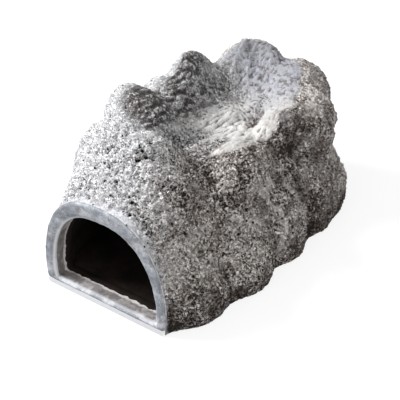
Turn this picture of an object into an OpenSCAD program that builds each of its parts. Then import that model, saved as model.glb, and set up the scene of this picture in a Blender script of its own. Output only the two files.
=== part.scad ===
// Resin cave ornament: a hollow cast rock with an arched mouth at one end, rounded lobes along its
// flanks and rim, and a shallow dish sunk into its top that spills out between two of the front lobes.
//
// Millimetres. +Z is up, +Y runs from the mouth into the cave and +X is to the right of someone who
// looks into the mouth. The origin is the middle of the footprint, on the plane the pads stand on.
// The form of the rock is written for a front face 100 mm wide and scales with front_width.

/* [Overall] */
// Width of the arched front face
front_width = 100; // [85:1:115]
// Height of the arched front face above the plane the ornament stands on
front_height = 79; // [74:1:82]

/* [Rock] */
// Rock left between the hollow and the lobes or the dish
rock_wall = 9; // [8:0.5:11]
// Radius of the blend where two lobes meet: small is a sharp crease
crease_blend = 2.6; // [2:0.2:4]
// Radius of the blend along the edge of the dish
dish_blend = 4; // [3:0.5:6]
// Height of the lowest point of the dish above the floor
dish_floor = 78; // [75:1:84]

/* [Mouth] */
// Width of the ring on each side of the opening
ring_side = 7.5; // [6.5:0.5:8.5]
// Width of the ring over the top of the opening
ring_top = 12; // [10:0.5:14]
// Thickness of the flange round the opening
flange_thickness = 3; // [2.5:0.5:4]
// Depth of the smooth reveal from the front face
reveal_depth = 13; // [11.5:0.5:15]
// Fullness of the arch: 2 is a half ellipse, higher is squarer
arch_power = 2.5; // [2:0.1:3]

/* [Base] */
// Thickness of the plate that closes the underside
base_thickness = 3.6; // [3:0.2:4]
// Diameter of each pad
pad_diameter = 12; // [8:0.5:14]
// How far each pad stands out below the plate
pad_proud = 0.8; // [0.5:0.1:1.5]

/* [Lining] */
// Thickness of the dark coat inside the hollow
lining_thickness = 1.8; // [1.2:0.1:2.5]

/* [Hidden] */

size_ratio = front_width / 100;

// Heights above the standing plane.
plate_bottom = pad_proud;
plate_top = plate_bottom + base_thickness;
ledge_height = plate_top + 0.8;
frame_bottom = plate_top + 0.3;
sill_top = frame_bottom + 2;

// Distances behind the front face. Past turn_depth the cross-sections stop stepping straight back
// and swing round the rear of the rock like the leaves of a fan.
front_plane = -128 * size_ratio;
shell_start = flange_thickness + 0.8;
turn_depth = 150 * size_ratio;
flare_depth = 28 * size_ratio;
lining_ring = 3;
hollow_blend = 12 * size_ratio;

// Rings of points along the rock.
straight_rings = 33;
fan_rings = 19;
last_ring = straight_rings + fan_rings;
outer_steps = 48;
inner_steps = outer_steps / 2;
ring_size = outer_steps + inner_steps + 6;
ring_step = (turn_depth - shell_start) / straight_rings;

// The brow over the mouth stands this far out from the arch, deepest at brow_depth.
brow_rise = 13;
brow_drop = 15;
brow_depth = 35;

// Rim that the base plate is let into.
rim_width = 4;
plate_gap = 0.5;

// The frame's cross-section runs from 0 at the outside of the ring to 1 at the opening.
sleeve_share = 0.55;
hole_share = 0.44;
frame_steps = 56;
sill_steps = 8;

pad_recess = pad_proud < 1 ? 1.05 : 1.25;
pad_front = [38, 24];
pad_rear = [34, 222];

// The main mass: ellipsoids given as [centre x, y, z, radius x, y, z], y from the front face.
core = [
    [0, 70, 0, 66, 100, 80],
    [0, 150, 0, 70, 104, 76]
];

// The lobes: [peak x, y, z, half width round the rock, half width along it, drop at that width].
lobes = [
    // Over the mouth
    [-47, 64, 95, 30, 27, 13],
    [-15, 61, 96, 26, 25, 12],
    // Left rim, from front to rear
    [-62, 104, 100, 28, 22, 15],
    [-60, 136, 98, 26, 22, 13],
    [-50, 168, 110, 32, 31, 18],
    // Rear rim
    [-26, 226, 106, 34, 32, 18],
    [18, 236, 94, 32, 28, 16],
    [47, 206, 87, 29, 27, 14],
    // Right rim, from rear to front
    [41, 170, 90, 15, 15, 12],
    [45, 110, 82, 23, 24, 11],
    // Right flank, from front to rear
    [67, 35, 20, 40, 22, 10],
    [77, 80, 26, 44, 21, 11],
    [78, 125, 24, 44, 20, 11],
    [76, 172, 24, 44, 20, 11],
    [68, 208, 30, 40, 22, 10],
    // Left flank, from front to rear
    [-63, 38, 22, 40, 24, 10],
    [-75, 84, 30, 44, 24, 11],
    [-77, 132, 30, 44, 22, 11],
    [-75, 178, 30, 44, 22, 11],
    [-62, 224, 24, 40, 26, 10],
    // Foot of the rear
    [34, 242, 24, 34, 30, 10],
    [-18, 254, 20, 34, 30, 10]
];

// The dish is the underside of a large ellipsoid: [centre x, y, z, radius x, y, z].
dish_radius = 72;
dish = [0, 150, dish_floor + dish_radius, 53, 86, dish_radius];

resin_grey = [0.66, 0.66, 0.65];
frame_grey = [0.80, 0.80, 0.80];
lining_brown = [0.13, 0.10, 0.08];
glue_grey = [0.45, 0.43, 0.40];
pad_black = [0.10, 0.10, 0.10];

// ---------------------------------------------------------------- small helpers

function dot(a, b) = a * b;
function clamp01(v) = min(1, max(0, v));
function smooth_max(v, blend) = max(v) + blend * ln(total([for (x = v) exp((x - max(v)) / blend)]));
function smooth_min(a, b, blend) = -smooth_max([-a, -b], blend);
function total(v, i = 0, sum = 0) = i < len(v) ? total(v, i + 1, sum + v[i]) : sum;
function mix(a, b, t) = a + (b - a) * t;

// Distance from a point to an ellipsoid along a direction. side is 1 for the far crossing and -1 for
// the near one; miss is returned when the line passes the ellipsoid by.
function ellipsoid_distance(from, along, e, side, miss) =
    let (
        p = [for (i = [0:2]) (from[i] - e[i]) / e[i + 3]],
        q = [for (i = [0:2]) along[i] / e[i + 3]],
        a = dot(q, q),
        b = dot(p, q),
        c = dot(p, p) - 1,
        d = b * b - a * c
    )
    d < 0 ? miss : (-b + side * sqrt(d)) / a;

// ---------------------------------------------------------------- form of the rock

// Ring i stands at ring_depth(i) until the turn, then leans round by ring_lean(i) degrees.
function ring_depth(i) = min(turn_depth, shell_start + i * ring_step) / size_ratio;
function ring_lean(i) = 90 * max(0, i - straight_rings) / fan_rings;
function ring_origin(i) = [0, ring_depth(i), 0];
function ring_direction(i, angle) =
    [cos(angle) * cos(ring_lean(i)), sin(ring_lean(i)), sin(angle) * cos(ring_lean(i))];

// Distance from the axis on the floor out to the plain main mass.
function core_radius(from, along) =
    smooth_max([for (e = core) ellipsoid_distance(from, along, e, 1, -1000)], 6);

// The same distance out to one lobe, which falls away from its peak like a shallow bowl turned over.
function lobe_radius(from, along, lobe) =
    let (
        turn = 150,
        peak = [lobe[0], lobe[1], lobe[2]],
        reach = norm(peak - [0, min(peak[1], turn), 0]),
        away = from + along * reach - peak,
        around = (away[0] * away[0] + away[2] * away[2]) / (lobe[3] * lobe[3]),
        length = away[1] * away[1] / (lobe[4] * lobe[4])
    )
    reach - lobe[5] * (around + length);

// Arch of the front face as a distance from the middle of its foot.
function arch_radius(angle) =
    let (
        wide = pow(abs(cos(angle)) / 50, arch_power),
        high = pow(abs(sin(angle)) / ((front_height - plate_bottom) / size_ratio), arch_power)
    )
    pow(wide + high, -1 / arch_power);

// The outside of the rock: lobes over the core, flared out from the arch, with the dish cut in.
function rock_radius(i, angle) =
    let (
        from = ring_origin(i),
        along = ring_direction(i, angle),
        lumps = smooth_max(concat([core_radius(from, along)],
            [for (lobe = lobes) lobe_radius(from, along, lobe)]), crease_blend),
        arch = arch_radius(angle),
        brow_fall = (ring_depth(i) - brow_depth) / brow_depth,
        brow = arch + brow_rise - brow_drop * brow_fall * brow_fall,
        flare = sin(90 * clamp01(ring_depth(i) * size_ratio / flare_depth)),
        headed = i > straight_rings ? lumps : smooth_max([lumps, brow], 3),
        blended = mix(arch, headed, flare),
        scoop = ellipsoid_distance(from, along, dish, -1, 1000)
    )
    scoop > 0 ? smooth_min(blended, scoop, dish_blend) : blended;

// The hollow follows the core, and stays rock_wall inside the lobes and the dish.
function hollow_radius(i, angle) =
    let (core_out = core_radius(ring_origin(i), ring_direction(i, angle)))
    smooth_min(core_out - 6 / size_ratio, rock_radius(i, angle) - rock_wall / size_ratio, 2);

// A point in the frame of the part, from a ring, an angle and a distance out from the axis.
function place(i, angle, radius) =
    let (p = (ring_origin(i) + ring_direction(i, angle) * radius) * size_ratio)
    [p[0], p[1] + front_plane, p[2] + plate_bottom];

// ---------------------------------------------------------------- arch of the mouth

// A point on the arch at a share of the way from the ring's outside to the opening, as [x, z].
// The jambs swell a little above the foot.
function arch_point(share, angle) =
    let (
        half = front_width / 2 - ring_side * share,
        foot = mix(frame_bottom, sill_top, share),
        rise = front_height - ring_top * share - foot,
        up = pow(abs(sin(angle)), 2 / arch_power),
        across = pow(abs(cos(angle)), 2 / arch_power) * sign(cos(angle)),
        swell = 1.2 * sin(180 * sqrt(up)) * sign(cos(angle))
    )
    [half * across + swell, foot + rise * up];

// The wall of the hollow, moved inward by inset and kept above floor_height: the arched hole the
// frame's sleeve sits in, opening out into the chamber.
function hollow_point(i, angle, inset, floor_height) =
    let (
        hole = arch_point(hole_share + inset / ring_side, angle),
        depth = ring_depth(i) * size_ratio,
        start = shell_start + lining_ring * ring_step,
        open = i > straight_rings ? 1 : clamp01((depth - start) / hollow_blend),
        chamber = place(i, angle, hollow_radius(i, angle) - inset / size_ratio),
        mouth = [hole[0], depth + front_plane, hole[1]],
        p = open == 0 ? mouth : mix(mouth, chamber, open)
    )
    [p[0], p[1], max(p[2], floor_height)];

// ---------------------------------------------------------------- rings and their faces

// One closed ring of the shell: outside, left rim, hollow, right rim.
function shell_ring(i) =
    let (
        foot_right = rock_radius(i, 0) - rim_width / size_ratio,
        foot_left = rock_radius(i, 180) - rim_width / size_ratio,
        right = place(i, 0, foot_right),
        left = place(i, 180, foot_left),
        hollow = [for (j = [inner_steps:-1:0]) hollow_point(i, 180 * j / inner_steps, 0, ledge_height)],
        last = inner_steps
    )
    concat(
        [for (j = [0:outer_steps]) let (a = 180 * j / outer_steps) place(i, a, rock_radius(i, a))],
        [left, [left[0], left[1], ledge_height]],
        [[hollow[0][0], hollow[0][1], ledge_height]],
        [for (j = [1:last - 1]) hollow[j]],
        [[hollow[last][0], hollow[last][1], ledge_height]],
        [[right[0], right[1], ledge_height], right]
    );

// The last ring has shrunk to four points, so its indices fold together.
function folded(k) =
    k <= outer_steps ? 0
    : (k == outer_steps + 1 || k == ring_size - 1) ? 1
    : (k == outer_steps + 2 || k == ring_size - 2) ? 2
    : 3;
function shell_index(i, k) = i < last_ring ? i * ring_size + k : last_ring * ring_size + folded(k);
function pole_points() =
    let (ring = shell_ring(last_ring))
    [ring[0], ring[ring_size - 1], ring[ring_size - 2], ring[outer_steps + 4]];

// Two triangles for a four-sided patch, leaving out any that have shrunk to a line.
function patch(a, b, c, d) =
    [for (t = [[a, b, c], [a, c, d]]) if (t[0] != t[1] && t[1] != t[2] && t[2] != t[0]) t];

// The flat front end of the shell: two legs joined by the arch.
function outside(j) = j;
function inside(j) = outer_steps + 3 + inner_steps - j;
function shell_front() =
    let (
        n = outer_steps,
        m = inner_steps,
        left_foot = n + 1,
        left_ledge = n + 2,
        right_foot = ring_size - 1,
        right_ledge = ring_size - 2
    )
    concat(
        [[0, right_foot, right_ledge], [0, right_ledge, 1], [1, right_ledge, 2]],
        [[2, right_ledge, inside(0)], [2, inside(0), inside(1)]],
        [for (j = [1:m - 2])
            for (t = [
                [outside(2 * j), inside(j), outside(2 * j + 1)],
                [outside(2 * j + 1), inside(j), inside(j + 1)],
                [outside(2 * j + 1), inside(j + 1), outside(2 * j + 2)]
            ]) t],
        [[n - 2, inside(m - 1), inside(m)], [n - 2, inside(m), left_ledge]],
        [[n - 2, left_ledge, n - 1], [n - 1, left_ledge, n], [n, left_ledge, left_foot]]
    );

// A tube of closed loops: every loop has the same number of points, and the first meets the last.
function loop_faces(loops, points) =
    [for (i = [0:loops - 1])
        for (k = [0:points - 1])
            let (next = (i + 1) % loops, step = (k + 1) % points)
            for (t = patch(i * points + k, next * points + k, next * points + step, i * points + step)) t];

// ---------------------------------------------------------------- sub-parts

// The rock: one hollow casting, open at the mouth and underneath.
module rock_shell() {
    points = concat([for (i = [0:last_ring - 1]) for (p = shell_ring(i)) p], pole_points());
    sides = [for (i = [0:last_ring - 1])
        for (k = [0:ring_size - 1])
            let (step = (k + 1) % ring_size)
            for (t = patch(shell_index(i, k), shell_index(i, step),
                shell_index(i + 1, step), shell_index(i + 1, k))) t];
    color(resin_grey)
        polyhedron(points = points, faces = concat(sides, shell_front()));
}

// One loop of the lining: round the hollow and back across the floor.
function lining_loop(i, inset, floor_height) =
    [for (j = [0:inner_steps]) hollow_point(i, 180 * j / inner_steps, inset, floor_height)];

// The dark coat: a thin closed pocket against the wall, roof and floor of the hollow.
module cavity_lining() {
    gap = 0.4;
    floor_low = plate_top + 0.3;
    floor_high = floor_low + 1.5;
    last = last_ring - 2;
    count = inner_steps + 1;
    outer = [for (i = [lining_ring:last]) lining_loop(i, gap, floor_low)];
    inner = [for (i = [last:-1:lining_ring]) lining_loop(i, gap + lining_thickness, floor_high)];
    loops = len(outer);
    outer_back = total(outer[loops - 1], 0, [0, 0, 0]) / count;
    inner_back = total(inner[0], 0, [0, 0, 0]) / count;
    points = concat([for (loop = outer) for (p = loop) p], [for (loop = inner) for (p = loop) p],
        [outer_back, inner_back]);
    skin = [for (i = [0:2 * loops - 1])
        if (i != loops - 1)
            for (k = [0:count - 1])
                let (next = (i + 1) % (2 * loops), step = (k + 1) % count)
                for (t = patch(i * count + k, i * count + step, next * count + step, next * count + k)) t];
    outer_cap = [for (k = [0:count - 1])
        [(loops - 1) * count + k, (loops - 1) * count + (k + 1) % count, 2 * loops * count]];
    inner_cap = [for (k = [0:count - 1])
        [loops * count + (k + 1) % count, loops * count + k, 2 * loops * count + 1]];
    color(lining_brown)
        polyhedron(points = points, faces = concat(skin, outer_cap, inner_cap));
}

// A closed arch loop at a share across the ring and a depth behind the front face.
function arch_loop(share, depth) =
    let (
        right = arch_point(share, 0),
        left = arch_point(share, 180)
    )
    concat(
        [for (j = [0:frame_steps])
            let (p = arch_point(share, 180 * j / frame_steps)) [p[0], depth + front_plane, p[1]]],
        [for (j = [1:sill_steps - 1])
            let (p = mix(left, right, j / sill_steps)) [p[0], depth + front_plane, p[1]]]
    );

// The smooth collar round the opening: a rounded flange and a sleeve that forms the reveal and sill.
module mouth_frame() {
    outer_edge = 1.2;
    inner_edge = 3;
    outline = concat(
        [[0, flange_thickness], [0, outer_edge]],
        [for (a = [30:30:90]) [0.2 * (1 - cos(a)), outer_edge * (1 - sin(a))]],
        [for (a = [0:18:90]) [0.5 + 0.5 * sin(a), inner_edge * (1 - cos(a))]],
        [[1, reveal_depth], [sleeve_share, reveal_depth], [sleeve_share, flange_thickness]]
    );
    points = [for (p = outline) for (q = arch_loop(p[0], p[1])) q];
    color(frame_grey)
        polyhedron(points = points, faces = loop_faces(len(outline), frame_steps + sill_steps));
}

// The bead of set glue between the back of the flange and the shell.
module frame_bond_bead() {
    inner_share = hole_share - 0.05;
    outline = [[0.06, shell_start - 0.1], [0.06, flange_thickness + 0.1],
        [inner_share, flange_thickness + 0.1], [inner_share, shell_start - 0.1]];
    points = [for (p = outline) for (q = arch_loop(p[0], p[1])) q];
    color(glue_grey)
        polyhedron(points = points, faces = loop_faces(len(outline), frame_steps + sill_steps));
}

// Foot of the rock moved inward, as [x, y] on one side (0 right, 180 left), from ring first onward.
function foot_line(side, inset, first) =
    [for (i = [first:last_ring])
        let (p = place(i, side, rock_radius(i, side) - (rim_width + inset) / size_ratio)) [p[0], p[1]]];
function backwards(v) = [for (i = [len(v) - 1:-1:0]) v[i]];
function without_first(v) = [for (i = [1:len(v) - 1]) v[i]];

// The recess one pad is glued into.
module pad_hole(x, y) {
    translate([x * size_ratio, y * size_ratio + front_plane, plate_bottom - 1])
        cylinder(d = pad_diameter + 0.6, h = pad_recess + 1);
}

// The plate that closes the underside, let into the rim of the rock, with its front edge in view.
module base_plate() {
    front_half = front_width / 2 - 0.5;
    outline = concat(
        [[front_half, front_plane]],
        foot_line(0, plate_gap, 0),
        without_first(backwards(foot_line(180, plate_gap, 0))),
        [[-front_half, front_plane]]
    );
    color(frame_grey)
        difference() {
            translate([0, 0, plate_bottom])
                linear_extrude(height = base_thickness)
                    polygon(outline);
            for (side = [-1, 1]) {
                pad_hole(side * pad_front[0], pad_front[1]);
                pad_hole(side * pad_rear[0], pad_rear[1]);
            }
        }
}

// The bead of set glue between the plate and the ledge round the inside of the rim.
module base_bond_bead() {
    first = 1;
    outer = concat(foot_line(0, 0.6, first), without_first(backwards(foot_line(180, 0.6, first))));
    inner = concat(foot_line(180, 1.8, first), without_first(backwards(foot_line(0, 1.8, first))));
    color(glue_grey)
        translate([0, 0, plate_top + 0.1])
            linear_extrude(height = ledge_height - plate_top - 0.2)
                polygon(concat(outer, inner));
}

// One round rubber pad, stuck into its recess and standing proud of the plate.
module pad(x, y) {
    color(pad_black)
        translate([x * size_ratio, y * size_ratio + front_plane, 0])
            cylinder(d = pad_diameter, h = pad_proud + pad_recess - 0.05);
}

module pad_front_left() {
    pad(-pad_front[0], pad_front[1]);
}

module pad_front_right() {
    pad(pad_front[0], pad_front[1]);
}

module pad_rear_left() {
    pad(-pad_rear[0], pad_rear[1]);
}

module pad_rear_right() {
    pad(pad_rear[0], pad_rear[1]);
}

rock_shell();
cavity_lining();
mouth_frame();
base_plate();
base_bond_bead();
frame_bond_bead();
pad_front_left();
pad_front_right();
pad_rear_left();
pad_rear_right();
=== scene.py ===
"""Looks of the resin cave ornament: a pitted, dry-brushed cast rock with a smooth arched mouth."""

import math
from types import SimpleNamespace

import bpy
import numpy as np
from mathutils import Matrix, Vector
from mathutils.bvhtree import BVHTree


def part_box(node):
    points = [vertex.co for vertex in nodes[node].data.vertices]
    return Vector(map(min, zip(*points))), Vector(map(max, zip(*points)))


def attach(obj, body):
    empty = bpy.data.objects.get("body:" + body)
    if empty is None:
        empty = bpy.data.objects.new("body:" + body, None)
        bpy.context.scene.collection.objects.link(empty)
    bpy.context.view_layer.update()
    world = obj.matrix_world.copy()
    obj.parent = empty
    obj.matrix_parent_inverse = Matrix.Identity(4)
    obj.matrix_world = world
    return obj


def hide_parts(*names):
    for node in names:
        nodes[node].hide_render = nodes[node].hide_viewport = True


MM = 0.001
SEED = 41

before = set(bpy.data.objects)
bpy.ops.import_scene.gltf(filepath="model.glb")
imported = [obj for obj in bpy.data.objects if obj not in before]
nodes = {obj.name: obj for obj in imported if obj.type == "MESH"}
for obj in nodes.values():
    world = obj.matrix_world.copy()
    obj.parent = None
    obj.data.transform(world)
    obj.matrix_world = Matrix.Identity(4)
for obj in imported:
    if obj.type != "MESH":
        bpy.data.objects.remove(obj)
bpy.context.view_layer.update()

# Levels and depths of the CAD model, in millimetres.
front_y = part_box("mouth_frame")[0][1] / MM
frame_back_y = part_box("mouth_frame")[1][1] / MM
rock_front_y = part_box("rock_shell")[0][1] / MM
foot_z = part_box("base_plate")[0][2] / MM

# The rock is laid out in rings. They stand upright from the front to turn_y, then fan round the rear.
turn_y = front_y + 150.0
fan_centre = np.array([0.0, turn_y, foot_z])

# The lip of the rock that laps the mouth frame: how far behind the front each ring lies, and how far
# it stands out from the arch. A few more rings blend it into the rock.
lip_behind = [3.3, 3.1, 1.7, 1.85, 2.5]
lip_out = [-0.5, 0.06, 0.08, 0.35, 0.45]
blend_rows = 3

# The plain skin inside the textured one.
inner_step = 4
skin_thickness = 4.5

# The rock's mesh is thinned to about this many triangles, after points this close (in metres) are welded.
rock_triangles = 185000.0
weld_distance = 0.00002

# The dish: centre and radii of the ellipsoid whose underside it is.
dish_centre = np.array([0.0, front_y + 150.0, foot_z + 150.0])
dish_radii = np.array([53.0, 86.0, 72.0])

# The knob: the lobe that stands into the right side of the dish.
knob_centre = np.array([42.0, front_y + 160.0, 88.0])
knob_radius = 11.0

# Broad hollows are looked for on every few points, against surroundings softened this many times.
hollow_step = 4
hollow_passes = 45

# Rays are cast inward from this far out, beyond every face of the rock.
cast_reach = 220.0

# ------------------------------------------------------------------------------- noise


def smoothstep(low, high, value):
    """0 below low, 1 above high, smooth between. low may be above high."""
    t = np.clip((value - low) / (high - low), 0.0, 1.0)
    return t * t * (3.0 - 2.0 * t)


def hashed(cell, seed, channel):
    """A repeatable random number from 0 to 1 for each whole-numbered cell."""
    n = cell[..., 0] * 374761393 + cell[..., 1] * 668265263 + cell[..., 2] * 2147483647
    n = (n + seed * 1274126177 + channel * 974634777) & 0xFFFFFFFF
    n = ((n ^ (n >> 13)) * 1274126177) & 0xFFFFFFFF
    n = ((n ^ (n >> 16)) * 2246822519) & 0xFFFFFFFF
    return ((n ^ (n >> 15)) & 0xFFFFFF) / float(0xFFFFFF)


def gradient_noise(points, seed):
    """Smooth noise of about -1 to 1, one wave per unit."""
    base = np.floor(points).astype(np.int64)
    inside = points - base
    ease = inside * inside * inside * (inside * (inside * 6.0 - 15.0) + 10.0)
    total = np.zeros(len(points))
    for corner in np.ndindex(2, 2, 2):
        cell = base + np.array(corner)
        away = inside - np.array(corner)
        slope = sum((hashed(cell, seed, axis) * 2.0 - 1.0) * away[:, axis] for axis in range(3))
        weight = np.ones(len(points))
        for axis in range(3):
            weight = weight * (ease[:, axis] if corner[axis] else 1.0 - ease[:, axis])
        total += slope * weight
    return total * 1.6


def layered_noise(points, seed, layers):
    """Gradient noise with finer, weaker layers on top."""
    total = np.zeros(len(points))
    for layer in range(layers):
        total += gradient_noise(points * 2.03**layer, seed + layer * 17) * 0.5**layer
    return total


def cell_distance(points, seed):
    """Distance to the nearest scattered point, and a random number that belongs to that point."""
    base = np.floor(points).astype(np.int64)
    nearest = np.full(len(points), 9.0)
    owner = np.zeros(len(points))
    for shift in np.ndindex(3, 3, 3):
        cell = base + np.array(shift) - 1
        spot = np.stack([hashed(cell, seed, axis) for axis in range(3)], axis=1) + cell
        gap = np.linalg.norm(points - spot, axis=1)
        closer = gap < nearest
        nearest = np.where(closer, gap, nearest)
        owner = np.where(closer, hashed(cell, seed, 7), owner)
    return nearest, owner


def warped(points, size, amount, seed):
    """Points pushed about by slow noise, so that a pattern on them curls."""
    push = np.stack([gradient_noise(points / size, seed + axis) for axis in range(3)], axis=1)
    return points + push * amount


# ------------------------------------------------------------------------------- mesh helpers


def add_mesh(name, points, faces):
    """A smooth-shaded mesh object from points in millimetres."""
    mesh = bpy.data.meshes.new(name)
    mesh.from_pydata([tuple(p) for p in np.asarray(points) * MM], [], [tuple(f) for f in faces])
    mesh.update()
    mesh.polygons.foreach_set("use_smooth", [True] * len(mesh.polygons))
    obj = bpy.data.objects.new(name, mesh)
    bpy.context.scene.collection.objects.link(obj)
    return obj


def add_attribute(obj, name, values):
    """One number per vertex, for the material to read."""
    layer = obj.data.attributes.new(name, "FLOAT", "POINT")
    layer.data.foreach_set("value", np.asarray(values, dtype=np.float32))


def grid_faces(rows, columns, start=0):
    """Quads of a grid of points numbered row by row."""
    i, j = np.meshgrid(np.arange(rows - 1), np.arange(columns - 1), indexing="ij")
    here, below = i * columns + j, (i + 1) * columns + j
    quads = np.stack([here, below, below + 1, here + 1], -1)
    return (quads.reshape(-1, 4) + start).tolist()


def stitch(fine, coarse, flip):
    """Triangles between an edge with many points and one with fewer, spread evenly."""
    faces = []
    ratio = (len(fine) - 1) // (len(coarse) - 1)
    for k in range(len(coarse) - 1):
        first = k * ratio
        middle = first + ratio // 2
        for m in range(first, first + ratio):
            faces.append((fine[m], fine[m + 1], coarse[k] if m < middle else coarse[k + 1]))
        faces.append((fine[middle], coarse[k + 1], coarse[k]))
    return [face[::-1] for face in faces] if flip else faces


def apply_modifiers(obj):
    """Bakes the modifiers into the mesh."""
    graph = bpy.context.evaluated_depsgraph_get()
    mesh = bpy.data.meshes.new_from_object(obj.evaluated_get(graph), depsgraph=graph)
    obj.modifiers.clear()
    obj.data = mesh


def smooth_rows(columns, samples):
    """Weights that interpolate evenly spaced samples smoothly (Catmull-Rom)."""
    spots = np.linspace(0, samples - 1, columns)
    base = np.minimum(np.floor(spots).astype(int), samples - 2)
    t = spots - base
    weights = np.zeros((columns, samples))
    curve = [
        (-1, -0.5 * t + t**2 - 0.5 * t**3),
        (0, 1 - 2.5 * t**2 + 1.5 * t**3),
        (1, 0.5 * t + 2 * t**2 - 1.5 * t**3),
        (2, -0.5 * t**2 + 0.5 * t**3),
    ]
    for shift, value in curve:
        at = np.clip(base + shift, 0, samples - 1)
        np.add.at(weights, (np.arange(columns), at), value)
    return weights


# ------------------------------------------------------------------------------- the rock's skin


def cad_tree(node):
    """A CAD node's surface, to cast rays against, in millimetres."""
    mesh = nodes[node].data
    points = [v.co / MM for v in mesh.vertices]
    return BVHTree.FromPolygons(points, [tuple(p.vertices) for p in mesh.polygons])


def cast_inward(tree, origin, along):
    """Distance from origin out to the surface along a direction, met from outside, or None."""
    hit = tree.ray_cast(Vector(origin + along * cast_reach), Vector(-along), cast_reach)
    return cast_reach - hit[3] if hit[0] is not None else None


def directions(lean, angles):
    """Ray directions of one ring: lean 0 stands upright, 90 degrees lies to the rear."""
    return np.stack([
        np.cos(angles) * math.cos(lean),
        np.full(len(angles), math.sin(lean)),
        np.sin(angles) * math.cos(lean),
    ], axis=1)


def cad_radii(tree, origins, leans, angles):
    """The CAD shell's radius at each ring and angle."""
    radii = np.zeros((len(origins), len(angles)))
    for i, (origin, lean) in enumerate(zip(origins, leans)):
        for j, along in enumerate(directions(lean, angles)):
            radii[i, j] = cast_inward(tree, origin, along) or radii[i, j - 1]
    return radii


def arch_radii(tree, angles):
    """Radius of the mouth frame's outside edge at each angle."""
    origin = np.array([0.0, front_y + 2.0, foot_z])
    found = [cast_inward(tree, origin, along) for along in directions(0.0, angles)]
    known = [k for k, value in enumerate(found) if value is not None]
    first, last = known[0], known[-1]
    # Below the lowest hit on each side the edge is taken to drop straight down.
    for k in range(first):
        found[k] = found[first] * math.cos(angles[first]) / math.cos(angles[k])
    for k in range(last + 1, len(found)):
        found[k] = found[last] * math.cos(angles[last]) / math.cos(angles[k])
    return np.array(found)


def blur(values, passes):
    """Softens a grid of values, leaving its edges as they are."""
    out = values.copy()
    for _ in range(passes):
        padded = np.pad(out, 1, mode="edge")
        around = padded[:-2, 1:-1] + padded[2:, 1:-1] + padded[1:-1, :-2] + padded[1:-1, 2:]
        out = (around + 2 * out) / 6.0
    return out


def broad_hollows(radii):
    """How far each spot lies below its wide surroundings."""
    coarse = radii[::hollow_step, ::hollow_step]
    deep = blur(coarse, hollow_passes) - coarse
    rows, columns = radii.shape
    spots = np.arange(columns) / hollow_step
    wide = np.stack([np.interp(spots, np.arange(coarse.shape[1]), row) for row in deep])
    spots = np.arange(rows) / hollow_step
    return np.stack([np.interp(spots, np.arange(len(wide)), wide[:, k]) for k in range(columns)], axis=1)


def knob_share(points):
    """1 at the middle of the knob, fading outwards."""
    away = (points - knob_centre) / knob_radius
    return np.exp(-np.sum(away**2, axis=-1))


def dish_share(points):
    """1 on the floor and sides of the dish, 0 outside it."""
    reach = np.linalg.norm((points - dish_centre) / dish_radii, axis=-1)
    ragged = gradient_noise(points.reshape(-1, 3) / 7.0, SEED + 11).reshape(reach.shape)
    # It runs out further towards the right front, where it spills over.
    forward = smoothstep(-10.0, -45.0, points[..., 1])
    limit = 1.15 + forward * (0.21 * smoothstep(-6.0, 14.0, points[..., 0]) - 0.06)
    behind = points[..., 1] - front_y
    right_rim = smoothstep(8.0, 24.0, points[..., 0]) * smoothstep(90.0, 112.0, behind)
    limit = limit + 0.13 * right_rim * smoothstep(186.0, 164.0, behind)
    inside = smoothstep(limit, limit - 0.07, reach + 0.03 * ragged + 0.30 * knob_share(points) ** 2)
    return inside * smoothstep(60.0, 70.0, points[..., 2])


def shaded_side_share(points, normals):
    """1 on the sides of the left lobes that face the dish, turned away from the light: where shade is
    painted on.
    """
    x, behind, z = points[..., 0], points[..., 1] - front_y, points[..., 2]
    facing = smoothstep(-0.30, 0.16, normals[..., 0])
    ragged = 5.0 * gradient_noise(points.reshape(-1, 3) / 9.0, SEED + 12).reshape(x.shape)
    edge = 6.0 + 18.0 * smoothstep(130.0, 88.0, behind) * smoothstep(92.0, 83.0, z)
    side = smoothstep(0.0, -14.0, x + edge + ragged)
    wander = 9.0 * gradient_noise(points.reshape(-1, 3) / 21.0, SEED + 14).reshape(x.shape)
    length = smoothstep(72.0, 92.0, behind + ragged) * smoothstep(196.0, 166.0, behind + ragged + wander)
    return facing * side * length * smoothstep(72.0, 88.0, z)


def mouth_share(points, upness):
    """1 on the smooth border next to the mouth, which is wide over the top and narrow down the sides."""
    width = 2.0 + 6.5 * smoothstep(0.25, 1.0, upness)[None, :]
    ragged = 1.6 * gradient_noise(points.reshape(-1, 3) / 6.0, SEED + 13).reshape(points.shape[:2])
    return smoothstep(1.0, 0.0, (points[..., 1] - front_y - 2.6 + ragged) / width)


def pit_crowd(points):
    """1 over the mouth, where the surface is most pitted."""
    x, behind, z = points[..., 0], points[..., 1] - front_y, points[..., 2]
    return np.exp(-((x - 2.0) ** 2 + ((behind - 30.0) / 1.2) ** 2) / 27.0**2) * smoothstep(45.0, 60.0, z)


def pits(points):
    """The largest pits: a cluster high over the mouth, a few more round it, and the odd one elsewhere."""
    x, behind = points[:, 0], points[:, 1] - front_y
    cluster = np.exp(-(((x + 2.0) / 4.0) ** 2 + ((behind - 45.0) / 7.0) ** 2)) * (points[:, 2] > 60.0)
    gap, owner = cell_distance(warped(points, 4.0, 0.7, SEED + 40) / 4.0, SEED + 41)
    size = 0.18 + 0.16 * cluster + 0.08 * owner
    chosen = owner > 0.93 - 0.22 * pit_crowd(points) - 0.6 * cluster
    return smoothstep(size + 0.08, size - 0.04, gap) * chosen


def grain_pattern(points, over_mouth):
    """Rounded grains with creases between them, wider over the mouth."""
    gap, _ = cell_distance(warped(points, 5.0, 1.2, SEED + 2) / 2.7, SEED + 3)
    wide_gap, _ = cell_distance(warped(points, 5.0, 2.0, SEED + 4) / 3.9, SEED + 6)
    gap = gap + (wide_gap - gap) * 0.8 * over_mouth
    return 1.0 - np.minimum(gap * 1.25, 1.0) ** 2


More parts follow.
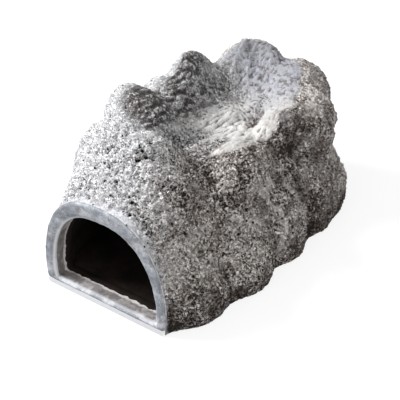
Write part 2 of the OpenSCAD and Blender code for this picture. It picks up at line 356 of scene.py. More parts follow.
def flank_marks(points):
    """Upright crevices down the flanks, and one pale upright seam on the right."""
    x, behind, z = points[:, 0], points[:, 1] - front_y, points[:, 2]
    tall = warped(points * np.array([1.0, 1.0, 0.32]), 14.0, 4.0, SEED + 50)
    crevice = 1.0 - smoothstep(0.0, 0.12, np.abs(gradient_noise(tall / 14.0, SEED + 51)))
    top = 84.0 + 18.0 * smoothstep(10.0, 30.0, x)
    crevice = crevice * smoothstep(0.0, 22.0, top - z) * smoothstep(20.0, 40.0, behind)
    wander = behind - 113.0 + 8.0 * smoothstep(32.0, 12.0, z)
    wander = wander + 2.5 * gradient_noise(points / 16.0, SEED + 52)
    seam = np.exp(-((wander / 1.5) ** 2)) * (x > 0) * smoothstep(6, 14, z) * smoothstep(76, 64, z)
    return crevice, seam


def finger_dabs(points):
    """Short dabs along the dish, fanning from its left front, rounder on the rear lobe."""
    x, behind, z = points[:, 0], points[:, 1] - front_y, points[:, 2]
    fan_out = 0.4 * (behind - 80.0) * (1.0 - np.clip(behind - 80.0, 0.0, 80.0) / 160.0)
    length = 8.5 - 5.0 * smoothstep(160.0, 190.0, behind)
    width = 3.1 - 0.4 * smoothstep(-8.0, -20.0, x)
    lines = np.stack([(x - fan_out) / width, behind / length, z / width], axis=1)
    gap, _ = cell_distance(warped(lines, 2.4, 0.35, SEED + 60), SEED + 61)
    return 1.0 - np.minimum(gap * 1.3, 1.0) ** 2


def rock_relief(points, dish, collar):
    """Height of the surface texture in millimetres, how proud each spot is, and where it is a pit."""
    flat = points.reshape(-1, 3)
    share = dish.reshape(-1)
    x, behind, z = flat[:, 0], flat[:, 1] - front_y, flat[:, 2]
    over_mouth = smoothstep(75.0, 45.0, behind) * smoothstep(45.0, 65.0, z)
    grains = grain_pattern(flat, over_mouth)
    vein = gradient_noise(warped(flat, 6.0, 2.4, SEED) / 3.8, SEED + 5)
    veins = 1.0 - smoothstep(0.0, 0.24, np.abs(vein))
    nodules = layered_noise(flat / 7.0, SEED + 20, 2)
    swell = layered_noise(flat / 22.0, SEED + 30, 2)
    crevice, seam = flank_marks(flat)
    dabs = finger_dabs(flat)
    dab = gradient_noise(warped(flat, 7.0, 2.0, SEED + 70) / 3.8, SEED + 71)
    hole = pits(flat) * (1.0 - 0.9 * share)
    # The height: rough rock outside the dish, soft dabs inside it.
    strong = 1.25 + 1.05 * over_mouth * smoothstep(-46.0, -22.0, x)
    rough = strong * (0.85 * grains + 0.75 * veins) + 0.7 * nodules + 0.7 * swell
    rough = rough - 1.5 * crevice + 1.2 * seam
    soft = 1.7 * dabs - 1.3 + 0.25 * dab + 0.3 * swell
    height = rough * (1.0 - share) + soft * share - 0.7 * (1.0 - share)
    height = height * (0.35 + 0.65 * smoothstep(0.0, 12.0, z - foot_z)) - 2.4 * hole
    height = height * (1.0 - 0.93 * collar.reshape(-1))
    # How proud each spot stands, which the colour follows: dry brush and painted highlight on the ridges,
    # painted shade in the crevices.
    proud = (0.75 * grains + 0.45 * veins + 0.2 * nodules - 0.8 * crevice + 2.2 * seam) * (1.0 - share)
    proud = proud + (dabs + 0.2 * dab) * share
    return height.reshape(dish.shape), proud.reshape(dish.shape), hole.reshape(dish.shape)


def grid_normals(points):
    """Outward normals of a grid of points."""
    along = np.gradient(points, axis=0)
    across = np.gradient(points, axis=1)
    normal = np.cross(along, across)
    length = np.linalg.norm(normal, axis=-1, keepdims=True)
    return normal / np.maximum(length, 1e-9)


def carve_lobes(radii, origins, rays):
    """Radii with deeper creases between the lobes of the rim and shallower lobes round the foot."""
    spots = origins[:, None, :] + rays * radii[..., None]
    behind = spots[..., 1] - front_y
    deep = broad_hollows(radii)
    raised = 0.22 + 0.6 * smoothstep(126.0, 108.0, behind) + 0.8 * knob_share(spots)
    change = 0.95 * np.maximum(deep, 0.0) + raised * np.minimum(deep, 0.0)
    rim = smoothstep(50.0, 80.0, spots[..., 2]) * change
    foot = -0.55 * smoothstep(44.0, 14.0, spots[..., 2]) * deep
    return radii - (rim + foot) * smoothstep(10.0, 28.0, behind)


def sampled_shell(columns, straight, fan):
    """Radii of the CAD shell, interpolated: its straight part, then the fan round its rear."""
    tree = cad_tree("rock_shell")
    rays, rings, leaves = 61, 50, 37
    angles = np.linspace(1e-4, math.pi - 1e-4, rays)
    origins = [np.array([0.0, y, foot_z]) for y in np.linspace(rock_front_y + 0.05, turn_y, rings)]
    straight_radii = cad_radii(tree, origins, [0.0] * rings, angles)
    leans = np.linspace(0.0, math.pi / 2 - 1e-4, leaves)
    fan_radii = cad_radii(tree, [fan_centre] * leaves, leans, angles)
    across = smooth_rows(columns + 1, rays)
    straight_fine = smooth_rows(straight + 1, rings) @ straight_radii @ across.T
    fan_fine = smooth_rows(fan + 1, leaves) @ fan_radii @ across.T
    return straight_fine, fan_fine


def lay_rings(arch, straight_radii, fan_radii):
    """Radii, centres and leans of the rings from front to rear: lip, blend, straight part, fan."""
    rings = [(arch + out, front_y + behind) for behind, out in zip(lip_behind, lip_out)]
    last_lip_y = rings[-1][1]
    for k in range(1, blend_rows + 1):
        t = k / (blend_rows + 1)
        blended = (arch + lip_out[-1]) * (1 - t) + straight_radii[0] * t
        rings.append((blended, last_lip_y + (rock_front_y - last_lip_y) * t))
    rings += zip(straight_radii, np.linspace(rock_front_y, turn_y, len(straight_radii)))
    radii = [ring for ring, _ in rings] + list(fan_radii[1:])
    origins = [np.array([0.0, y, foot_z]) for _, y in rings] + [fan_centre] * (len(fan_radii) - 1)
    leans = [0.0] * len(rings) + list(np.linspace(0.0, math.pi / 2, len(fan_radii))[1:])
    return np.stack(radii), np.stack(origins), leans


def settle_foot(skin):
    """Puts the foot flat on its level and closes the fan at the rear."""
    skin[:, 0, 2] = foot_z
    skin[:, -1, 2] = foot_z
    skin[..., 2] = np.maximum(skin[..., 2], foot_z)
    skin[-1] = skin[-1].mean(axis=0)
    skin[-1, :, 2] = foot_z


def inner_skin(radii, origins, rays, arch):
    """A plain skin inside the textured one, a quarter as fine, clear of the frame's sleeve."""
    rows = np.arange(0, radii.shape[0], inner_step)
    columns = np.arange(0, radii.shape[1], inner_step)
    inner_radii = radii[np.ix_(rows, columns)] - skin_thickness
    for k, row in enumerate(rows):
        if origins[row, 1] < frame_back_y + 2.0:
            inner_radii[k] = np.maximum(inner_radii[k], arch[columns] - 1.0)
    inner = origins[rows][:, None, :] + rays[np.ix_(rows, columns)] * inner_radii[..., None]
    inner[0, :, 1] = front_y + lip_behind[0]
    return inner


def skin_faces(rows, width, inner_rows, inner_width):
    """Faces of both skins, and the strips that join their front and side edges."""
    start = rows * width
    faces = grid_faces(rows, width)
    faces += [face[::-1] for face in grid_faces(inner_rows, inner_width, start)]
    faces += stitch(list(range(width)), list(range(start, start + inner_width)), False)
    for side, inner_side, flip in ((0, 0, True), (width - 1, inner_width - 1, False)):
        fine_edge = [r * width + side for r in range(rows)]
        coarse_edge = [start + r * inner_width + inner_side for r in range(inner_rows)]
        faces += stitch(fine_edge, coarse_edge, flip)
    return faces


def thin_out(obj, face_count):
    """Welds doubled points and brings the triangles down to the number wanted."""
    weld = obj.modifiers.new("weld", "WELD")
    weld.merge_threshold = weld_distance
    thin = obj.modifiers.new("thin", "DECIMATE")
    thin.ratio = min(1.0, rock_triangles / (2 * face_count))
    apply_modifiers(obj)
    obj.data.polygons.foreach_set("use_smooth", [True] * len(obj.data.polygons))


def make_rock():
    """The rock: the CAD form sampled finely, textured in relief, closed inside by a plain skin."""
    # The inner skin takes every fourth ring and column, so these counts keep to multiples of four.
    columns, straight, fan = ((420, 228, 248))
    angles = np.linspace(0.0, math.pi, columns + 1)
    arch = arch_radii(cad_tree("mouth_frame"), angles)
    radii, origins, leans = lay_rings(arch, *sampled_shell(columns, straight, fan))
    rays = np.stack([directions(lean, angles) for lean in leans])
    radii = carve_lobes(radii, origins, rays)
    base = origins[:, None, :] + rays * radii[..., None]
    normals = grid_normals(base)
    dish = dish_share(base)
    wash = shaded_side_share(base, normals)
    collar = mouth_share(base, np.sin(angles))
    # The sides of the left lobes with painted shade carry the same finger dabs as the dish. The lip stays
    # plain.
    height, proud, hole = rock_relief(base, np.maximum(dish, 0.9 * wash), collar)
    height[: len(lip_out)] = 0.0
    skin = base + normals * height[..., None]
    settle_foot(skin)
    inner = inner_skin(radii, origins, rays, arch)
    faces = skin_faces(*skin.shape[:2], *inner.shape[:2])
    rock = add_mesh("rock_skin", np.vstack([skin.reshape(-1, 3), inner.reshape(-1, 3)]), faces)
    layers = {
        "relief": proud,
        "dish": dish,
        "pit": hole,
        "valley": broad_hollows(radii),
        "wash": wash,
        "crowd": pit_crowd(base),
        "knob": knob_share(base) * smoothstep(0.75, 0.35, normals[..., 0]),
        "collar": collar,
    }
    for name, values in layers.items():
        add_attribute(rock, name, np.concatenate([values.reshape(-1), np.zeros(inner[..., 0].size)]))
    thin_out(rock, len(faces))
    rock.data.name = "rock_skin"
    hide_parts("rock_shell")
    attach(rock, "root")
    return rock


rock = make_rock()

# ------------------------------------------------------------------------------- the mouth's ring

# The arch and the ring round it, as in the CAD model. Across the ring, a share of 0 is its outside, 1 the
# opening, and sleeve_share the outside of the sleeve behind the flange.
frame_low_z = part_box("mouth_frame")[0][2] / MM
frame_top_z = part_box("mouth_frame")[1][2] / MM
front_half = 50.0
ring_side = 7.5
ring_top = 12.0
sill_rise = 2.0
arch_power = 2.5
arch_swell = 1.2
sleeve_share = 0.55
reveal = frame_back_y - front_y

# Points of one loop round the ring: along the arch, then along the sill.
arch_count = 240
sill_count = 80


def arch_point(share, angle):
    """Point of the arch in x and z, from 0 at the outside of the ring to 1 at the opening."""
    half = front_half - ring_side * share
    low = frame_low_z + sill_rise * share
    rise = frame_top_z - ring_top * share - low
    up = np.abs(np.sin(angle)) ** (2 / arch_power)
    across = np.abs(np.cos(angle)) ** (2 / arch_power) * np.sign(np.cos(angle))
    swell = arch_swell * np.sin(math.pi * np.sqrt(up)) * np.sign(np.cos(angle))
    return np.stack([half * across + swell, low + rise * up], axis=-1)


def even_angles(count):
    """Angles that step evenly along the arch."""
    fine = np.linspace(0.0, math.pi, 4000)
    steps = np.linalg.norm(np.diff(arch_point(0.5, fine), axis=0), axis=1)
    travelled = np.concatenate([[0.0], np.cumsum(steps)])
    return np.interp(np.linspace(0.0, travelled[-1], count), travelled, fine)


def ring_profile():
    """The ring's cross-section as shares and depths, in order round it, and which part shows."""
    quarter = np.radians(np.linspace(0.0, 90.0, 9))
    parts = [
        (np.zeros(4), np.linspace(3.0, 1.4, 4)),
        (0.2 * (1.0 - np.cos(quarter)), 1.2 * (1.0 - np.sin(quarter))),
        (np.linspace(0.24, 0.48, 6), np.full(6, 0.0)),
        (0.5 + 0.5 * np.sin(quarter), 3.0 * (1.0 - np.cos(quarter))),
        (np.ones(24), np.linspace(3.4, reveal - 0.2, 24)),
        (np.linspace(0.98, sleeve_share, 4), np.full(4, reveal)),
        (np.full(3, sleeve_share), np.linspace(reveal - 2.0, 3.0, 3)),
    ]
    share = np.concatenate([part[0] for part in parts])
    depth = np.concatenate([part[1] for part in parts])
    shows = np.ones(len(share))
    shows[:3] = 0.0
    shows[-8:] = 0.0
    return share, depth, shows


def arch_loops(share, depth):
    """Closed loops round the arch and along the sill, one for each share and depth."""
    angles = even_angles(arch_count)
    loops = []
    for one_share, one_depth in zip(share, depth):
        arch = arch_point(one_share, angles)
        sill = arch[-1] + (arch[0] - arch[-1]) * np.linspace(0.0, 1.0, sill_count + 2)[1:-1, None]
        loop = np.vstack([arch, sill])
        loops.append(np.stack([loop[:, 0], np.full(len(loop), front_y + one_depth), loop[:, 1]], axis=1))
    return np.stack(loops)


def tube_faces(rows, width):
    """Quads of a grid that closes on itself both ways."""
    i, j = np.meshgrid(np.arange(rows), np.arange(width), indexing="ij")
    next_i, next_j = (i + 1) % rows, (j + 1) % width
    quads = np.stack([i * width + j, i * width + next_j, next_i * width + next_j, next_i * width + j], -1)
    return quads.reshape(-1, 4).tolist()


def make_ring():
    """The smooth ring and reveal of the mouth, a little uneven like any hand-finished casting."""
    share, depth, shows = ring_profile()
    points = arch_loops(share, depth)
    along = np.roll(points, -1, axis=0) - np.roll(points, 1, axis=0)
    across = np.roll(points, -1, axis=1) - np.roll(points, 1, axis=1)
    normal = np.cross(across, along)
    normal = normal / np.maximum(np.linalg.norm(normal, axis=-1, keepdims=True), 1e-9)
    flat = points.reshape(-1, 3)
    uneven = 0.22 * gradient_noise(flat / 8.0, SEED + 80) + 0.12 * gradient_noise(flat / 2.6, SEED + 81)
    uneven = np.minimum(uneven, 0.25).reshape(points.shape[:2]) * shows[:, None]
    points = points + normal * uneven[..., None]
    points[..., 1] = np.maximum(points[..., 1], front_y)
    rows, width = points.shape[:2]
    ring = add_mesh("mouth_ring", points.reshape(-1, 3), tube_faces(rows, width))
    # Where the painted highlight runs: a band along the inner edge of the front face.
    rim = np.exp(-(((share - 0.95) / 0.08) ** 2)) * (depth < 3.6)
    inward = smoothstep(2.4, 4.2, depth)
    back = depth / reveal
    for name, values in (("rim", rim), ("inward", inward), ("back", back)):
        add_attribute(ring, name, np.repeat(values, width))
    # The first points of each loop run round the arch, the rest along the sill.
    add_attribute(ring, "sill", np.tile(np.arange(width) >= arch_count, rows))
    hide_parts("mouth_frame")
    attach(ring, "root")
    return ring


def make_coat_edge():
    """The ragged edge of the dark coat, run a little way over the back of the reveal."""
    # The cross-section runs back over the inner face of the reveal to the lining, then forward behind it.
    share = np.array([0.985, 1.03, 1.04, 1.04, 1.03, 0.95, 0.95])
    lining_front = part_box("cavity_lining")[0][1] / MM - front_y + 0.5
    behind_reveal = [-1.3, -0.9, -0.2, 1.0]
    depth = np.array([reveal + d for d in behind_reveal] + [lining_front, lining_front, reveal + 0.3])
    points = arch_loops(share, depth)
    width = points.shape[1]
    ragged = 1.1 * layered_noise(points[0] / 5.0, SEED + 90, 3)
    points[:2, :, 1] += ragged[None, :]
    points[2, :, 1] += 0.4 * ragged
    edge = add_mesh("coat_edge", points.reshape(-1, 3), tube_faces(len(share), width))
    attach(edge, "root")
    return edge


ring = make_ring()
coat_edge = make_coat_edge()


def round_edges(obj, width):
    """Rounds the sharp edges of a CAD piece with a modifier."""
    bevel = obj.modifiers.new("rounded", "BEVEL")
    bevel.width = width * MM
    bevel.segments = 3
    bevel.limit_method = "ANGLE"
    bevel.angle_limit = math.radians(35.0)


pads = [nodes["pad_" + place] for place in ("front_left", "front_right", "rear_left", "rear_right")]
round_edges(nodes["base_plate"], 0.9)
for pad in pads:
    round_edges(pad, 0.4)

# ------------------------------------------------------------------------------- materials


class Shader:
    """A small helper that adds nodes to one material and wires them."""

    def __init__(self, name):
        self.material = bpy.data.materials.new(name)
        self.material.use_nodes = True
        self.tree = self.material.node_tree
        self.surface = self.tree.nodes["Principled BSDF"]
        self.place = self.add("ShaderNodeTexCoord").outputs["Object"]

    def add(self, kind):
        """A new node."""
        return self.tree.nodes.new(kind)

    def wire(self, source, target):
        """Joins an output to an input, or sets the input to a plain value."""
        if hasattr(source, "is_output"):
            self.tree.links.new(source, target)
        else:
            target.default_value = source

    def noise(self, scale, detail, roughness, stretch=None, distortion=0.0):
        """A noise texture with so many repeats per metre."""
        node = self.add("ShaderNodeTexNoise")
        node.inputs["Distortion"].default_value = distortion
        place = self.place
        if stretch:
            mapping = self.add("ShaderNodeMapping")
            mapping.inputs["Scale"].default_value = stretch
            self.wire(self.place, mapping.inputs["Vector"])
            place = mapping.outputs["Vector"]
        self.wire(place, node.inputs["Vector"])
        node.inputs["Scale"].default_value = scale
        node.inputs["Detail"].default_value = detail
        node.inputs["Roughness"].default_value = roughness
        return node.outputs["Fac"]

    def cells(self, scale, warp, warp_scale):
        """Distance to the nearest of many scattered points, and a random number per point."""
        node = self.add("ShaderNodeTexVoronoi")
        push = self.add("ShaderNodeTexNoise")
        push.inputs["Scale"].default_value = warp_scale
        self.wire(self.place, push.inputs["Vector"])
        shift = self.add("ShaderNodeVectorMath")
        shift.operation = "MULTIPLY_ADD"
        self.wire(push.outputs["Color"], shift.inputs[0])
        shift.inputs[1].default_value = (warp, warp, warp)
        self.wire(self.place, shift.inputs[2])
        self.wire(shift.outputs[0], node.inputs["Vector"])
        node.inputs["Scale"].default_value = scale
        split = self.add("ShaderNodeSeparateColor")
        self.wire(node.outputs["Color"], split.inputs[0])
        return node.outputs["Distance"], split.outputs[0]

    def attribute(self, name):
        """A number stored on the mesh."""
        node = self.add("ShaderNodeAttribute")
        node.attribute_name = name
        return node.outputs["Fac"]

    def math(self, operation, a, b=0.0):
        """One arithmetic step."""
        node = self.add("ShaderNodeMath")
        node.operation = operation
        self.wire(a, node.inputs[0])
        self.wire(b, node.inputs[1])
        return node.outputs[0]

    def plus(self, a, b):
        """a + b."""
        return self.math("ADD", a, b)

    def minus(self, a, b):
        """a - b."""
        return self.math("SUBTRACT", a, b)

    def times(self, a, b):
        """a * b."""
        return self.math("MULTIPLY", a, b)

    def swing(self, value, amount):
        """A value from 0 to 1 made to swing either side of 0."""
        return self.times(self.minus(value, 0.5), amount)

    def spread(self, value, low, high, out_low=0.0, out_high=1.0):
        """A value taken smoothly from one range to another."""
        node = self.add("ShaderNodeMapRange")
        node.interpolation_type = "SMOOTHSTEP"
        self.wire(value, node.inputs["Value"])
        ends = {"From Min": low, "From Max": high, "To Min": out_low, "To Max": out_high}
        for name, number in ends.items():
            node.inputs[name].default_value = number
        return node.outputs["Result"]

    def mix(self, share, a, b):
        """Colour a where share is 0, colour b where it is 1."""
        node = self.add("ShaderNodeMix")
        node.data_type = "RGBA"
        self.wire(share, node.inputs["Factor"])
        self.wire(a, node.inputs["A"])
        self.wire(b, node.inputs["B"])
        return node.outputs["Result"]

    def bump(self, height, strength, distance):
        """A normal tilted by the slope of a height, with distance in metres."""
        node = self.add("ShaderNodeBump")
        node.inputs["Strength"].default_value = strength
        node.inputs["Distance"].default_value = distance
        self.wire(height, node.inputs["Height"])
        return node.outputs["Normal"]

    def finish(self, colour, roughness, normal=None):
        """Wires the surface up and hands over the material."""
        self.wire(colour, self.surface.inputs["Base Color"])
        self.wire(roughness, self.surface.inputs["Roughness"])
        self.surface.inputs["Specular IOR Level"].default_value = 0.25
        if normal is not None:
            self.wire(normal, self.surface.inputs["Normal"])
        return self.material


def rock_textures(s):
    """What the rock's looks are mixed from: numbers on the mesh, the place in metres, and noises."""
    t = SimpleNamespace()
    for name in ("relief", "dish", "pit", "valley", "wash", "collar", "knob", "crowd"):
        setattr(t, name, s.attribute(name))
    t.knob_heart = s.math("POWER", t.knob, 2.5)
    t.dish_only = s.times(t.dish, s.minus(1.0, t.wash))
    split = s.add("ShaderNodeSeparateXYZ")
    s.wire(s.place, split.inputs[0])
    t.x, t.y, t.z = split.outputs
    # Crumbs about 2 mm across with gaps between them, curls of raised skin, and pin holes.
    t.crumbs = s.spread(s.noise(380.0, 2.0, 0.5, distortion=1.0), 0.37, 0.51)
    fold = s.math("ABSOLUTE", s.minus(s.noise(330.0, 1.5, 0.5, distortion=0.8), 0.5))
    t.curl = s.spread(fold, 0.04, 0.008)
    t.crisp = s.spread(s.noise(600.0, 2.0, 0.6, distortion=0.8), 0.44, 0.53)
    t.grain = s.noise(900.0, 3.0, 0.7)
    hole_gap, hole_draw = s.cells(300.0, 0.0012, 400.0)
    drawn = s.math("GREATER_THAN", s.plus(hole_draw, s.times(t.crowd, 0.06)), 0.84)
    t.pin = s.times(s.spread(hole_gap, 0.28, 0.20), drawn)
    t.cloud = s.noise(60.0, 4.0, 0.6)
    t.wide = s.noise(16.0, 2.0, 0.5)
    # Paler and cooler towards the left, less so at the rear: mostly painted light on the side the key
    # lamp lights, partly the paint.
    behind = s.math("MINIMUM", s.minus(t.y, front_y * MM), 0.07)
    leftness = s.spread(s.plus(t.x, s.times(behind, 0.5)), 0.070, 0.010)
    t.leftness = s.times(leftness, s.spread(t.y, 0.035, 0.085, 1.0, 0.45))
    t.rearness = s.spread(t.y, 0.030, 0.075)
    return t


def rock_tone_level(s, t):
    """How light each spot of the rough rock is: white dry brush, with painted highlight on the ridges,
    painted light on the left and painted shade in the creases, valleys and round the foot.
    """
    # Lighter where the surface stands proud, darker in its creases: partly dry brush on a dark base,
    # partly painted highlight and painted shade.
    tone_level = s.times(t.relief, 0.50)
    tone_level = s.plus(tone_level, s.times(t.crumbs, s.minus(0.36, s.times(t.crowd, 0.22))))
    tone_level = s.plus(tone_level, s.times(t.curl, s.plus(0.42, s.times(t.crowd, 0.30))))
    speckle = s.minus(0.85, s.times(t.crowd, 0.50))
    tone_level = s.plus(tone_level, s.swing(t.crisp, speckle))
    tone_level = s.plus(tone_level, s.swing(t.grain, 0.5))
    # The contrast differs from patch to patch. It is strongest over the mouth.
    patch = s.spread(s.noise(75.0, 2.0, 0.5), 0.42, 0.60, 0.5, 1.0)
    patch = s.plus(patch, t.crowd)
    patch = s.times(patch, s.spread(t.y, 0.0, 0.06, 1.0, 0.7))
    tone_level = s.plus(s.times(s.minus(tone_level, 0.62), patch), 0.68)
    tone_level = s.plus(tone_level, s.swing(t.wide, 1.0))
    tone_level = s.plus(tone_level, s.swing(t.cloud, 1.3))
    # Paler on the left, which is painted light from the key side, and paler over the mouth, at the rear
    # and round the knob.
    tone_level = s.plus(tone_level, s.times(t.leftness, 0.42))
    tone_level = s.plus(tone_level, s.spread(t.x, -0.012, -0.042, 0.0, 0.15))
    tone_level = s.plus(tone_level, s.times(t.crowd, 0.03))
    tone_level = s.plus(tone_level, s.spread(t.y, 0.010, 0.060, 0.0, 0.09))
    tone_level = s.plus(tone_level, s.times(t.knob, 0.34))
    # Darker on the knob itself, and painted shade in the valleys and round the foot.
    tone_level = s.minus(tone_level, s.times(t.knob_heart, 0.42))
    deep = s.times(s.spread(t.valley, 0.5, 4.0, 0.0, 0.24), s.minus(1.0, t.wash))
    tone_level = s.minus(tone_level, deep)
    return s.minus(tone_level, s.spread(t.z, 0.040, 0.006, 0.0, 0.36))


def rock_tone(s, t):
    """Colour of the rough rock, from near-black in the hollows to white on the ridges: partly dark base
    and white dry brush, partly painted shade and painted highlight.
    """
    tone_level = rock_tone_level(s, t)
    # The darkest colour: the dark base coat and painted shade in the hollows.
    dark_base_and_shade = (0.028, 0.022, 0.019, 1.0)
    umber = s.mix(s.spread(t.cloud, 0.35, 0.65), (0.135, 0.105, 0.09, 1.0), (0.19, 0.158, 0.14, 1.0))
    grey = s.mix(s.spread(t.cloud, 0.4, 0.6), (0.32, 0.285, 0.265, 1.0), (0.37, 0.355, 0.345, 1.0))
    # Paler and cooler towards the left: mostly painted light, partly the paint.
    grey = s.mix(t.leftness, grey, (0.46, 0.465, 0.485, 1.0))
    pale = s.mix(t.leftness, (0.80, 0.76, 0.73, 1.0), (0.86, 0.87, 0.90, 1.0))
    colour = s.mix(s.spread(tone_level, 0.10, 0.40), dark_base_and_shade, umber)
    colour = s.mix(s.spread(tone_level, 0.36, 0.66), colour, grey)
    colour = s.mix(s.spread(tone_level, 0.70, 1.02), colour, pale)
    return s.mix(s.times(t.knob_heart, 0.5), colour, (0.15, 0.16, 0.20, 1.0))


def shaded_side_tone(s, t):
    """Painted shade on the sides of the left lobes that face the dish, lighter on the tops of the dabs.
    """
    top = s.plus(t.relief, s.swing(t.crisp, 0.55))
    top = s.plus(top, s.swing(t.cloud, 0.8))
    top = s.minus(top, s.spread(t.y, 0.0, -0.03, 0.0, 0.16))
    shaded_colour = s.mix(s.spread(top, 0.15, 0.55), (0.045, 0.036, 0.032, 1.0), (0.20, 0.19, 0.185, 1.0))
    return s.mix(s.spread(top, 0.58, 0.90), shaded_colour, (0.60, 0.60, 0.62, 1.0))


def dish_tone(s, t):
    """Colour of the dish: off-white, bluer to the rear, with painted shade in the grooves between the
    finger marks.
    """
    tone_level = s.plus(s.times(t.relief, 0.8), s.swing(t.grain, 0.8))
    tone_level = s.plus(tone_level, s.swing(t.crisp, 0.16))
    keen = s.plus(1.0, s.times(t.rearness, 0.7))
    tone_level = s.plus(s.times(s.minus(tone_level, 0.35), keen), 0.35)
    cream = s.mix(t.rearness, (0.70, 0.69, 0.68, 1.0), (0.37, 0.38, 0.43, 1.0))
    cream = s.mix(s.spread(t.z, 0.092, 0.108), cream, (0.28, 0.29, 0.325, 1.0))
    cream = s.mix(s.spread(t.y, -0.015, -0.060), cream, (0.68, 0.655, 0.63, 1.0))
    # Painted shade: darker in the grooves between the finger marks.
    tone = s.mix(s.spread(tone_level, -0.10, 0.48), (0.16, 0.155, 0.16, 1.0), cream)
    crest = s.times(s.spread(t.valley, 0.4, -1.4, 0.0, 0.55), s.minus(1.0, t.rearness))
    return s.mix(crest, tone, (0.42, 0.41, 0.40, 1.0))


def rock_bump(s, t):
    """Fine relief below the size the mesh carries, faint in the dish and on the mouth's border."""
    rough = s.minus(1.0, s.times(t.collar, 0.85))
    rough = s.times(rough, s.minus(1.0, s.times(t.dish_only, 0.82)))
    raised = s.times(t.curl, s.plus(0.6, s.times(t.crowd, 0.5)))
    fine = s.plus(s.times(t.crumbs, 0.7), raised)
    fine = s.plus(fine, s.times(t.crisp, s.minus(0.5, s.times(t.crowd, 0.3))))
    fine = s.plus(fine, s.times(t.grain, 0.25))
    fine = s.minus(fine, s.times(t.pin, 1.5))
    return s.bump(s.times(fine, rough), 1.0, 0.0019)


def rock_material():
    """Cast resin: warm grey, painted shade in the pits, the valleys and the sides turned from the light,
    white dry brush and painted highlight on the ridges.
    """
    s = Shader("cast_rock")
    t = rock_textures(s)
    # Painted shade on the sides of the left lobes that face the dish, turned away from the light.
    colour = s.mix(s.times(t.wash, 0.95), rock_tone(s, t), shaded_side_tone(s, t))
    colour = s.mix(s.times(t.dish_only, 0.92), colour, dish_tone(s, t))
    # The smooth border of the mouth.
    blotch = s.spread(s.noise(120.0, 5.0, 0.65), 0.4, 0.65)
    border = s.mix(blotch, (0.62, 0.64, 0.68, 1.0), (0.34, 0.34, 0.36, 1.0))
    colour = s.mix(s.times(t.collar, 0.85), colour, border)
    # Painted shade: near-black in the pits and pin holes.
    hole_shade = s.math("MAXIMUM", s.spread(t.pit, 0.2, 0.7), s.times(t.pin, s.minus(1.0, t.dish)))
    colour = s.mix(hole_shade, colour, (0.02, 0.017, 0.015, 1.0))
    return s.finish(colour, s.spread(t.cloud, 0.3, 0.7, 0.75, 0.95), rock_bump(s, t))


def base_material():
    """The base: smooth cast resin, pale grey with a thin wash and smudges, paler along its edges from
    wear and painted highlight.
    """
    s = Shader("base_resin")
    pale_wear_and_sheen = (0.72, 0.73, 0.76, 1.0)
    wide = s.noise(30.0, 4.0, 0.6)
    streak = s.noise(70.0, 5.0, 0.65, stretch=(1.0, 1.0, 0.6))
    speck = s.noise(900.0, 2.0, 0.5)
    colour = s.mix(s.spread(wide, 0.35, 0.65), (0.46, 0.47, 0.50, 1.0), (0.34, 0.35, 0.38, 1.0))
    colour = s.mix(s.spread(streak, 0.56, 0.72, 0.0, 0.6), colour, (0.18, 0.17, 0.17, 1.0))
    colour = s.mix(s.spread(speck, 0.6, 0.75, 0.0, 0.35), colour, pale_wear_and_sheen)
    # Paler on the rounded edges: partly wear, partly painted highlight.
    edge = s.add("ShaderNodeNewGeometry").outputs["Pointiness"]
    colour = s.mix(s.spread(edge, 0.505, 0.54), colour, pale_wear_and_sheen)
    bump = s.bump(s.noise(240.0, 4.0, 0.6), 0.35, 0.0005)
    return s.finish(colour, s.spread(wide, 0.3, 0.7, 0.55, 0.75), bump)


def ring_material():
    """The ring: pale smooth resin with a bluish wash, a painted white highlight along the inner rim and a
    duller reveal.
    """
    s = Shader("ring_resin")
    rim = s.attribute("rim")
    inward = s.attribute("inward")
    back = s.attribute("back")
    wide = s.noise(55.0, 5.0, 0.65)
    smudge = s.noise(130.0, 6.0, 0.7)
    speck = s.noise(1100.0, 2.0, 0.5)
    face = s.mix(s.spread(wide, 0.38, 0.58), (0.48, 0.50, 0.54, 1.0), (0.23, 0.25, 0.285, 1.0))
    face = s.mix(s.spread(smudge, 0.50, 0.62, 0.0, 0.8), face, (0.19, 0.19, 0.205, 1.0))
    face = s.mix(s.spread(speck, 0.60, 0.72, 0.0, 0.5), face, (0.85, 0.86, 0.88, 1.0))
    jamb = s.mix(s.spread(wide, 0.38, 0.60), (0.44, 0.42, 0.42, 1.0), (0.22, 0.205, 0.205, 1.0))
    jamb = s.mix(s.spread(smudge, 0.46, 0.58, 0.0, 0.85), jamb, (0.13, 0.12, 0.12, 1.0))
    colour = s.mix(inward, face, jamb)
    sill = s.attribute("sill")
    # Painted highlight along the inner rim, fainter on the sill.
    rim_highlight_share = s.times(rim, s.minus(0.75, s.times(sill, 0.5)))
    colour = s.mix(rim_highlight_share, colour, (0.90, 0.91, 0.93, 1.0))
    fringe = s.plus(back, s.swing(s.noise(260.0, 5.0, 0.7), 0.5))
    colour = s.mix(s.spread(fringe, 0.72, 0.84, 0.0, 0.7), colour, (0.78, 0.76, 0.75, 1.0))
    bump = s.bump(s.noise(320.0, 5.0, 0.65), 0.5, 0.0004)
    return s.finish(colour, s.spread(wide, 0.3, 0.7, 0.6, 0.8), bump)


def plain(name, colour_a, colour_b, scale, roughness, bump_scale, bump_height):
    """A quiet two-tone finish for parts mostly out of sight."""
    s = Shader(name)
    tone = s.noise(scale, 4.0, 0.6)
    colour = s.mix(s.spread(tone, 0.35, 0.65), colour_a, colour_b)
    bump = s.bump(s.noise(bump_scale, 4.0, 0.6), 0.5, bump_height)
    return s.finish(colour, s.spread(tone, 0.3, 0.7, roughness - 0.08, roughness + 0.08), bump)


def give(obj, material):
    """Puts one material on a piece."""
    obj.data.materials.clear()
    obj.data.materials.append(material)


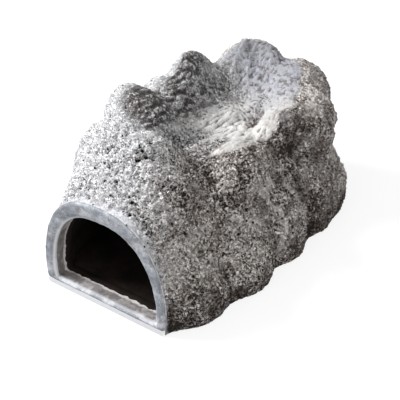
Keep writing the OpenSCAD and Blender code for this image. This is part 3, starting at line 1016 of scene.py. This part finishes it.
rock_look = rock_material()
frame_look = ring_material()
base_look = base_material()
lining_look = plain(
    "dark_lining", (0.006, 0.004, 0.003, 1), (0.017, 0.010, 0.007, 1), 60.0, 0.85, 300.0, 0.001
)
glue_look = plain("set_glue", (0.10, 0.09, 0.08, 1), (0.17, 0.16, 0.14, 1), 120.0, 0.5, 300.0, 0.0003)
pad_look = plain("pad_rubber", (0.02, 0.02, 0.02, 1), (0.035, 0.034, 0.033, 1), 150.0, 0.8, 900.0, 0.0002)

give(rock, rock_look)
give(ring, frame_look)
give(coat_edge, lining_look)
give(nodes["base_plate"], base_look)
give(nodes["cavity_lining"], lining_look)
give(nodes["base_bond_bead"], glue_look)
give(nodes["frame_bond_bead"], glue_look)
for pad in pads:
    give(pad, pad_look)

# ------------------------------------------------------------------------------- stage and camera


def add_area_light(name, position, target, size, power, colour):
    """A square soft light aimed at a point, in metres and watts."""
    data = bpy.data.lights.new(name, "AREA")
    data.size = size
    data.energy = power
    data.color = colour
    light = bpy.data.objects.new(name, data)
    bpy.context.scene.collection.objects.link(light)
    light.location = position
    light.rotation_euler = (Vector(target) - Vector(position)).to_track_quat("-Z", "Y").to_euler()


floor_half = 3000.0
corners = [(-1, -1, 0), (1, -1, 0), (1, 1, 0), (-1, 1, 0)]
floor = add_mesh("floor", np.array(corners) * floor_half, [(0, 1, 2, 3)])
floor_look = Shader("studio_floor")
floor_look.surface.inputs["Emission Color"].default_value = (1.0, 1.0, 1.0, 1.0)
# The floor glows towards the camera only, so that it looks white but doesn't light the rock from below.
seen = floor_look.add("ShaderNodeLightPath").outputs["Is Camera Ray"]
floor_look.wire(floor_look.times(seen, 0.78), floor_look.surface.inputs["Emission Strength"])
give(floor, floor_look.finish((0.30, 0.30, 0.30, 1.0), 0.9))

world = bpy.data.worlds.new("studio")
world.use_nodes = True
backdrop = world.node_tree.nodes["Background"]
backdrop.inputs["Color"].default_value = (1.0, 1.0, 1.0, 1.0)
seen = world.node_tree.nodes.new("ShaderNodeLightPath").outputs["Is Camera Ray"]
# Soft light of 0.47 on the object, and plain white where the camera looks past the floor.
strength = world.node_tree.nodes.new("ShaderNodeMapRange")
strength.inputs["To Min"].default_value = 0.47
strength.inputs["To Max"].default_value = 1.0
world.node_tree.links.new(seen, strength.inputs["Value"])
world.node_tree.links.new(strength.outputs["Result"], backdrop.inputs["Strength"])
bpy.context.scene.world = world

middle = (0.0, 0.0, 0.05)
add_area_light("key", (-0.88, -0.42, 0.86), middle, 0.5, 25.0, (1.0, 0.99, 0.98))
add_area_light("front_fill", (0.1, -1.2, 0.5), middle, 0.8, 2.0, (0.97, 0.98, 1.0))
add_area_light("side_fill", (1.1, -0.5, 0.6), middle, 0.5, 5.5, (1.0, 0.97, 0.94))

# The main camera stands to the right of straight-on and above, aimed at a point inside the cave.
scene = bpy.context.scene
scene.view_settings.view_transform = "Standard"
camera_data = bpy.data.cameras.new("camera")
camera = bpy.data.objects.new("camera", camera_data)
scene.collection.objects.link(camera)
scene.camera = camera
azimuth = math.radians(35.4)
elevation = math.radians(32.9)
distance = 0.599
aim = Vector((0.01355, front_y * MM + 0.0917, 0.0425))
back = Vector((
    math.sin(azimuth) * math.cos(elevation),
    -math.cos(azimuth) * math.cos(elevation),
    math.sin(elevation),
))
camera_data.sensor_width = 36.0
camera_data.lens = 76.5
camera_data.clip_start = 0.01
camera_data.clip_end = 20.0
camera.location = aim + back * distance
camera.rotation_euler = (-back).to_track_quat("-Z", "Y").to_euler()
